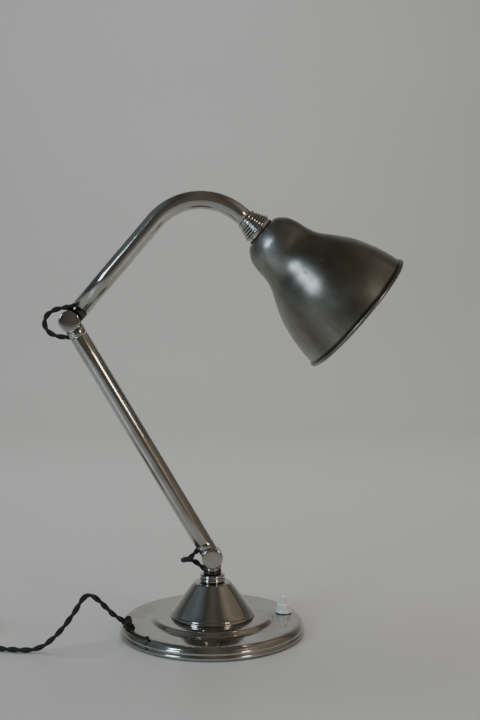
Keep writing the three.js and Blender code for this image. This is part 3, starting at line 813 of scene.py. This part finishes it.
collar = [
    (5.3, 50.3),
    (11.6, 50.3),
    *arc(11, 52.5, 2, -70, 65, 8),
    (11.55, 54.5),
    *arc(10.4, 56, 2, -40, 90, 8),
    (6.8, 58),
    (6.8, 53.7),
    (5.3, 53.7),
]
collar_shape = softened(turned(collar), 0.2, 45)
finished("neck_collar", collar_shape, CHROME, "base", AT_BASE, ("base_collar",))

grub = turned([(0, 6.9), (1.5, 6.9), (1.5, 12.0), (0.8, 12.2), (0.6, 11.2), (0, 11.2)], facets=24)
finished(
    "collar_grub_screw",
    grub,
    STEEL,
    "base",
    AT_BASE @ shifted(0, 0, 55.8) @ Matrix.Rotation(-pi / 2, 4, "X"),
    ("neck_grub_screw",),
)

# ---------- Switch ----------
SWITCH_PLACE = Vector((72.4, 14.4, 12.8))
AT_SWITCH = AT_BASE @ shifted(*SWITCH_PLACE)
bezel = [
    (3.9, -4),
    (4.7, -4),
    (4.7, 0.3),
    (7.6, 0.3),
    *arc(7.7, 1.1, 0.8, -90, 70, 6),
    (7.5, 3.2),
    (6.9, 6.2),
    (6.6, 8.3),
    *arc(5.4, 8.3, 1.2, 0, 90, 6),
    (4.6, 9.5),
    (3.9, 8.9),
]
finished("switch_dome", turned(bezel, facets=72), PORCELAIN, "base", AT_SWITCH, ("switch_bezel",))
plunger = [(0, -5), (3.5, -5), (3.5, 14.6), *arc(2.1, 15.6, 1.4, 0, 90, 6), (0, 17)]
finished(
    "switch_plunger", turned(plunger, facets=56), PORCELAIN, "button", AT_SWITCH, ("switch_button",)
)

SPRING_LOW, SPRING_HIGH, SPRING_WIRE, SPRING_TURNS = -8.9, -5.5, 0.18, 2.5
SPRING_RADIUS, SPRING_STEPS = 2.6, 60
wound = []
for i in range(SPRING_STEPS + 1):
    turn = 2 * pi * SPRING_TURNS * i / SPRING_STEPS
    height = SPRING_LOW + (SPRING_HIGH - SPRING_LOW) * i / SPRING_STEPS
    wound.append(SWITCH_PLACE + Vector((SPRING_RADIUS * cos(turn), SPRING_RADIUS * sin(turn), height)))
return_spring = sleeved(
    "return_spring", [wound], SPRING_WIRE, None, ("switch_spring",), material=STEEL
)
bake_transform(return_spring)

# ---------- Knuckles ----------
LAP = Matrix.Rotation(-pi / 2, 4, "X")  # turns a shape about Z into one about Y


def scooped_barrel(bm, radius, low, high, scoop, half=0, depth=1):
    """A barrel, flattened front to back by depth, that starts at a plain or hollowed end.

    With a scoop the lower end follows a cylinder of that radius about Y. With half, only the
    side of the lap that faces +Y (1) or -Y (-1) is kept.
    """
    made = bmesh.ops.create_cone(
        bm,
        cap_ends=True,
        segments=72,
        radius1=radius,
        radius2=radius,
        depth=high - low,
        matrix=shifted(0, 0, (low + high) / 2),
    )["verts"]
    for v in made:
        v.co.y *= depth
    if scoop:
        for v in made:
            if v.co.z < (low + high) / 2:
                v.co.z = sqrt(scoop**2 - v.co.x**2)
    if half:
        faces = {f for v in made for f in v.link_faces}
        edges = {e for v in made for e in v.link_edges}
        cut = bmesh.ops.bisect_plane(
            bm,
            geom=[*made, *edges, *faces],
            plane_co=(0, half * GAP / 2, 0),
            plane_no=(0, -half, 0),
            clear_outer=True,
        )
        bmesh.ops.edgeloop_fill(bm, edges=only_edges(cut["geom_cut"]))


def knuckle(name, facing, shoulder, body, place, node, material=CHROME):
    """A half knuckle: a flat-faced disc about Y, a tongue, and a ferrule that meets its tube."""
    bm = bmesh.new()
    disc = [
        (0, GAP / 2),
        (10.1, GAP / 2),
        (10.5, 0.5),
        *arc(8.9, 5.9, 1.6, 0, 80, 8),
        (6, 7.68),
        (3, 7.8),
        (0, 7.84),
    ]
    turn_into(bm, disc, 96, LAP if facing > 0 else LAP @ Matrix.Rotation(pi, 4, "X"))
    scooped_barrel(bm, 8.7, 0, min(13.5, shoulder - 0.8), 0, half=facing, depth=0.71)
    scooped_barrel(bm, TUBE_RADIUS, 8, shoulder - 0.8, 12.2)
    groove_low, groove_high, groove_radius = shoulder - 1.8, shoulder - 0.1, 7.8
    groove = [(0, groove_low), (groove_radius, groove_low), (groove_radius, groove_high), (0, groove_high)]
    turn_into(bm, groove, 64)
    softened(bm, 0.22, 45, 2)
    return finished(name, bm, material, body, place, (node,))


knuckle("neck_half", 1, 11, "neck", NECK_DOWN, "neck_knuckle")
knuckle("lower_half", -1, KNUCKLE_SHOULDER, "lower_arm", AT_LOWER_ARM, "lower_knuckle")
knuckle("elbow_front_half", -1, KNUCKLE_SHOULDER, "lower_arm", ELBOW_DOWN, "elbow_front_knuckle")
# The rear half of the elbow takes the darker chrome copy, which is painted shade.
knuckle(
    "elbow_rear_half", 1, KNUCKLE_SHOULDER, "upper_arm", AT_UPPER_ARM, "elbow_rear_knuckle", CHROME_PAINTED_SHADE
)

sleeve = [
    (6.8, 11.3), (9, 11.3), (9.1, 12), (8.8, 12.4), (9.1, 12.8), (9.1, 14.4), (8.8, 15.7), (6.8, 15.7),
]
sleeve_shape = softened(turned(sleeve, facets=72), 0.2)
finished("neck_sleeve_ring", sleeve_shape, BAKELITE, "neck", NECK_DOWN, ("neck_sleeve",))


SLOT_HALF, SLOT_DEPTH = 0.5, 1.1


def slotted_screw(name, body, place, node):
    """A cheese-head screw at the rear of a joint, with a slot across its head."""
    outline = [(0, -5), (2, -5), (2, 9.6), (4.2, 9.6), (4.2, 11.2), *arc(3.4, 11.2, 0.8, 0, 90, 4), (0, 12)]
    bm = turned(outline, facets=48)
    for side in (SLOT_HALF, -SLOT_HALF):
        geometry = [*bm.verts, *bm.edges, *bm.faces]
        bmesh.ops.bisect_plane(bm, geom=geometry, plane_co=(0, side, 0), plane_no=(0, 1, 0))
    slot = []
    for face in bm.faces:
        middle = face.calc_center_median()
        if face.normal.z > 0.5 and middle.z > 11.9 and abs(middle.y) < SLOT_HALF:
            slot.append(face)
    sunk = bmesh.ops.extrude_face_region(bm, geom=slot)["geom"]
    bmesh.ops.delete(bm, geom=slot, context="FACES")
    bmesh.ops.translate(bm, vec=(0, 0, -SLOT_DEPTH), verts=only_verts(sunk))
    return finished(name, bm, STEEL, body, place @ LAP, (node,), keen=30)


slotted_screw("lower_pivot_screw", "lower_arm", AT_LOWER_ARM, "lower_joint_screw")
slotted_screw("elbow_pivot_screw", "lower_arm", ELBOW_DOWN, "elbow_joint_screw")

# ---------- Arm tubes ----------
TUBE_START = KNUCKLE_SHOULDER + GAP
lower_tube = turned(
    [
        (TUBE_RADIUS - TUBE_WALL, TUBE_START),
        (TUBE_RADIUS, TUBE_START),
        *[(TUBE_RADIUS, z) for z in (60, 100, 140, 180, 220)],
        (TUBE_RADIUS, LOWER_LENGTH - TUBE_START),
        (TUBE_RADIUS - TUBE_WALL, LOWER_LENGTH - TUBE_START),
    ],
    facets=96,
)
finished("lower_tube", softened(lower_tube, 0.35), CHROME, "lower_arm", AT_LOWER_ARM, ("lower_arm_tube",))


def swan_neck():
    """The upper tube: straight, bent by a spin about the bend's centre, then a short straight tail."""
    bm = bmesh.new()
    bmesh.ops.create_circle(
        bm, cap_ends=False, radius=TUBE_RADIUS, segments=72, matrix=shifted(0, 0, TUBE_START)
    )
    rim = bm.edges[:]
    for height in (60, 95, UPPER_STRAIGHT):
        grown = bmesh.ops.extrude_edge_only(bm, edges=rim)["geom"]
        rim = only_edges(grown)
        for v in only_verts(grown):
            v.co.z = height
    bent = bmesh.ops.spin(
        bm,
        geom=rim,
        cent=(BEND_RADIUS, 0, UPPER_STRAIGHT),
        axis=(0, 1, 0),
        dvec=(0, 0, 0),
        angle=radians(BEND),
        steps=48,
        use_duplicate=False,
    )["geom_last"]
    grown = bmesh.ops.extrude_edge_only(bm, edges=only_edges(bent))["geom"]
    along = Vector((sin(radians(BEND)), 0, cos(radians(BEND)))) * (UPPER_TAIL - 14.5)
    bmesh.ops.translate(bm, vec=along, verts=only_verts(grown))
    return bm


upper_tube = finished("swan_neck_tube", swan_neck(), CHROME, "upper_arm", AT_UPPER_ARM, ("upper_arm_tube",))
wall = upper_tube.modifiers.new("wall", "SOLIDIFY")
wall.thickness = TUBE_WALL * 0.001
wall.offset = -1

# ---------- Lampholder ----------
beads = []
for i in range(4):
    share = (i + 0.5) / 4
    beads += arc(10.3 + share * 4.4, -17 + (i + 0.5) * 2.625, 1.12, -90, 90, 8)
cap = [
    (9.3, -21),
    *arc(9.8, -19.5, 1.3, -90, 70, 6),
    (10.3, -17.5),
    *beads,
    (14.6, -6.5),
    *arc(15.2, -5.5, 0.95, -90, 90, 8),
    (14.7, -4.3),
    (14.7, -1.8),
    (13.5, -1.8),
    (13.5, -9),
    (6, -11),
    (6, -13),
    (9.3, -14),
]
finished("ribbed_cap", turned(cap, facets=96), CHROME, "upper_arm", AT_SHADE, ("holder_cap",), keen=35)
gasket = [(13.5, -1.5), (14.9, -1.5), (15.1, -0.75), (14.9, 0), (13.5, 0)]
finished("shade_washer", turned(gasket, facets=72), RUBBER, "upper_arm", AT_SHADE, ("shade_gasket",))
skirt = [(11.6, -8.4), (13.2, -8.4)]
for z in range(2, 20, 2):
    skirt += [(13.2, z), (12.9, z + 0.5), (13.2, z + 1)]
skirt += [(13.2, 22), (12.4, 22.4), (11.6, 22)]
finished("holder_tube", turned(skirt, facets=72), BRASS, "upper_arm", AT_SHADE, ("holder_skirt",), keen=25)
ring_outline = [(13.5, 1.6), (17.4, 1.6), (17.4, 6.5), (13.5, 6.5)]
clamp_ring = softened(turned(ring_outline, facets=40), 0.5)
grips = [v for v in clamp_ring.verts if v.co.xy.length > 17.2]
for v in grips:
    if round(degrees(np.arctan2(v.co.y, v.co.x)) / 9) % 2:
        v.co.x *= 0.965
        v.co.y *= 0.965
finished("shade_clamp_ring", clamp_ring, BAKELITE, "upper_arm", AT_SHADE, ("shade_ring",), keen=30)

# ---------- Shade ----------
SHADE_LENGTH, SHADE_RIM, SHADE_DOME = 124, 66, 30.5
FLARE = SHADE_RIM - SHADE_DOME
BELL = [(0.005, 18.5), (0.03, 22.5), (0.09, 27.8), (0.165, SHADE_DOME)]  # share of the length, radius
BELL += [
    (share, SHADE_DOME + grown * FLARE)
    for share, grown in (
        (0.26, 0.05), (0.345, 0.155), (0.44, 0.36), (0.58, 0.64), (0.73, 0.825), (0.85, 0.93), (0.98, 1),
    )
]
bell_line = [tuple(p) for p in smooth([(radius, share * SHADE_LENGTH) for share, radius in BELL], 1.6)]
shade_outline = [(13.8, 0.3), (15.5, 0.3), (17.2, 0.32), *bell_line]
rolled_rim = arc(SHADE_RIM, 122.1, 2, 0, 345, 23)
shade_shape = turned(spun(shade_outline, 1), rolled_rim, facets=160)
finished("bell_shade", shade_shape, NICKEL, "upper_arm", AT_SHADE, ("shade",))

# ---------- Bulb ----------
neck_of_globe = smooth([(12.5, 34), (16.8, 46), (21.5, 54.5)], 2)
globe = [(0, 25.3), (10, 25.3), (10.2, 28), *neck_of_globe, *arc(0, 76, 30, -38, 90, 40)]
finished("bulb_globe", turned(globe), GLASS, "upper_arm", AT_SHADE, ("bulb_glass",))
cap_shape = turned(
    [(0, 0.6), (10, 0.6), (11, 1.4), (11, 18), (10.8, 18.4), (10.8, 24), (10.4, 25), (0, 25)], facets=72
)
for side in (0, pi):
    bmesh.ops.create_cone(
        cap_shape,
        cap_ends=True,
        segments=20,
        radius1=1.1,
        radius2=1.0,
        depth=1.6,
        matrix=Matrix.Rotation(side, 4, "Z") @ shifted(11.2, 0, 12) @ leaning(90),
    )
finished("bulb_base", cap_shape, BRASS, "upper_arm", AT_SHADE, ("bulb_cap",))

# ---------- Flex inside the arms, and the loops at the joints ----------
BASE_FLEX = [
    tuple(EXIT + EXIT_WAY), tuple(EXIT - EXIT_WAY * 2.6), (-72, -26, 8), (-60, -21.8, 6.2), (-48, -18.8, 4.8),
    (-25, -22, 4.8), (5, -22, 4.8), (34, -6, 4.8), (51, 6, 4.8), (63.6, 9.6, 4.8),
]
LOWER_LOOP = [
    (-15.2, 0.6, 80.4), (-17.5, 0.2, 78.7), (-19.6, -1.6, 76.6), (-22.6, -4.6, 74.8), (-26.2, -5.6, 73.4),
    (-28.6, -2.8, 72.5), (-29, 1.6, 71.9), (-26.8, 5, 71.2), (-22.2, 6, 70.4), (-17.4, 4, 69.2),
    (-13.4, 1, 67), (-10.8, 0, 64.9), (-8.4, 0, 63.2),
]
ELBOW_LOOP = [
    (-138.4, 0, 293.9), (-141.9, 0, 293.9), (-148.5, 0, 294.4), (-155.3, 0, 296.7), (-160.6, 0, 301.2),
    (-162.6, 0, 308), (-160.3, 0, 314.8), (-154.6, 0, 319.4), (-147.8, 0, 321.7), (-141.2, 0, 322.8),
    (-137, 0, 323.2),
]


def joint_loop(name, points, node):
    """A loop of flex from one arm to the next, at the joint between them; it rides on no body."""
    path = smooth(points, 1.2)
    lines = strands(path, STRAND, APART, LOOP_PITCH)
    loop = sleeved(name, lines, STRAND, None, (node,), sides=3)
    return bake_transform(loop)


joint_loop("lower_flex_loop", LOWER_LOOP, "lower_joint_loop")
joint_loop("elbow_flex_loop", ELBOW_LOOP, "elbow_loop")
base_run = strands(smooth(BASE_FLEX, 3), STRAND, APART, PITCH)
sleeved("base_flex_run", base_run, STRAND, "base", ("base_flex",))

# ---------- Finishes of the nodes that keep their own shape ----------
KEPT = {
    "base_felt": FELT,
    "base_weight": IRON,
    "base_stem": STEEL,
    "stem_washer": STEEL,
    "stem_nut": STEEL,
    "switch_nut": STEEL,
    "switch_body": BAKELITE,
    "stem_flex": COTTON,
    "neck_flex": COTTON,
    "lower_arm_flex": COTTON,
    "upper_arm_flex": COTTON,
    "lower_joint_washer": STEEL,
    "elbow_joint_washer": STEEL,
    "holder_insulator": BAKELITE,
    "holder_contact_1": BRASS,
    "holder_contact_2": BRASS,
}
for name, material in KEPT.items():
    for material_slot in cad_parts[name].material_slots:
        material_slot.material = material


# ---------- Studio ----------
def backdrop(material):
    """A pale floor that curves up behind the lamp into a plain background."""
    bm = bmesh.new()
    profile = [(-4, 0), (1.4, 0), *arc(1.4, 1, 1, -88, 0, 24), (2.4, 4)]
    line = [bm.verts.new((-6, y, z)) for y, z in profile]
    edges = [bm.edges.new(pair) for pair in zip(line, line[1:])]
    grown = bmesh.ops.extrude_edge_only(bm, edges=edges)["geom"]
    bmesh.ops.translate(bm, vec=(12, 0, 0), verts=only_verts(grown))
    mesh = bpy.data.meshes.new("backdrop")
    bm.to_mesh(mesh)
    bm.free()
    smooth_shaded(mesh)
    mesh.materials.append(material)
    linked("backdrop", mesh)


backdrop(studio_paper())


def studio_light(name, kind, place, aim, power, colour, **settings):
    data = bpy.data.lights.new(name, kind)
    data.energy = power
    data.color = colour
    for key, value in settings.items():
        setattr(data, key, value)
    return aimed(linked(name, data), place, Vector(aim) - Vector(place))


studio_light(
    "left_softbox", "AREA", (-1.8, -1.4, 1.15), (0, 0, 0.2), 19, (0.70, 0.86, 1.0),
    shape="RECTANGLE", size=0.6, size_y=0.9,
)
studio_light(
    "right_softbox", "AREA", (1.5, -1.7, 1.2), (0, 0, 0.2), 9, (1.0, 0.92, 0.80),
    shape="RECTANGLE", size=0.4, size_y=0.5,
)
overhead_softbox = studio_light(
    "overhead_softbox", "AREA", (0, 0.2, 2.4), (0, 0.3, 0), 16, (1.0, 0.98, 0.95),
    shape="RECTANGLE", size=1.8, size_y=1.4,
)
background_light = studio_light(
    "background_light", "AREA", (0, 0.5, 1.6), (0, 2.4, 0.3), 16, (0.96, 0.98, 1.0),
    shape="RECTANGLE", size=2.6, size_y=0.6,
)
for light in (overhead_softbox, background_light):  # the chrome does not mirror these two
    light.visible_glossy = False

world = bpy.data.worlds.new("studio")
world.use_nodes = True
sky = world.node_tree
sky.nodes.clear()
direction = sky.nodes.new("ShaderNodeTexCoord")
parts = sky.nodes.new("ShaderNodeSeparateXYZ")
sky.links.new(direction.outputs["Generated"], parts.inputs["Vector"])
sideways = sky.nodes.new("ShaderNodeMapRange")
sideways.inputs["From Min"].default_value = -1
sky.links.new(parts.outputs["X"], sideways.inputs["Value"])
ramp = sky.nodes.new("ShaderNodeValToRGB")
sky.links.new(sideways.outputs["Result"], ramp.inputs["Fac"])
STUDIO_BANDS = [  # what the chrome sees from left to right: screens and the dark between them
    (0, (0.065, 0.07, 0.075)),
    (0.16, (0.15, 0.175, 0.19)),
    (0.34, (0.06, 0.058, 0.053)),
    (0.50, (0.125, 0.115, 0.095)),
    (0.66, (0.085, 0.076, 0.06)),
    (0.80, (0.29, 0.25, 0.19)),
    (1, (0.14, 0.12, 0.095)),
]
set_stops(ramp.color_ramp, STUDIO_BANDS)
room = sky.nodes.new("ShaderNodeBackground")
seen = sky.nodes.new("ShaderNodeMix")
seen.data_type = "RGBA"
seen.inputs[7].default_value = (0.32, 0.32, 0.32, 1)
sky.links.new(sky.nodes.new("ShaderNodeLightPath").outputs["Is Camera Ray"], seen.inputs["Factor"])
sky.links.new(ramp.outputs["Color"], seen.inputs[6])
sky.links.new(seen.outputs[2], room.inputs["Color"])
shown = sky.nodes.new("ShaderNodeOutputWorld")
sky.links.new(room.outputs["Background"], shown.inputs["Surface"])
bpy.context.scene.world = world
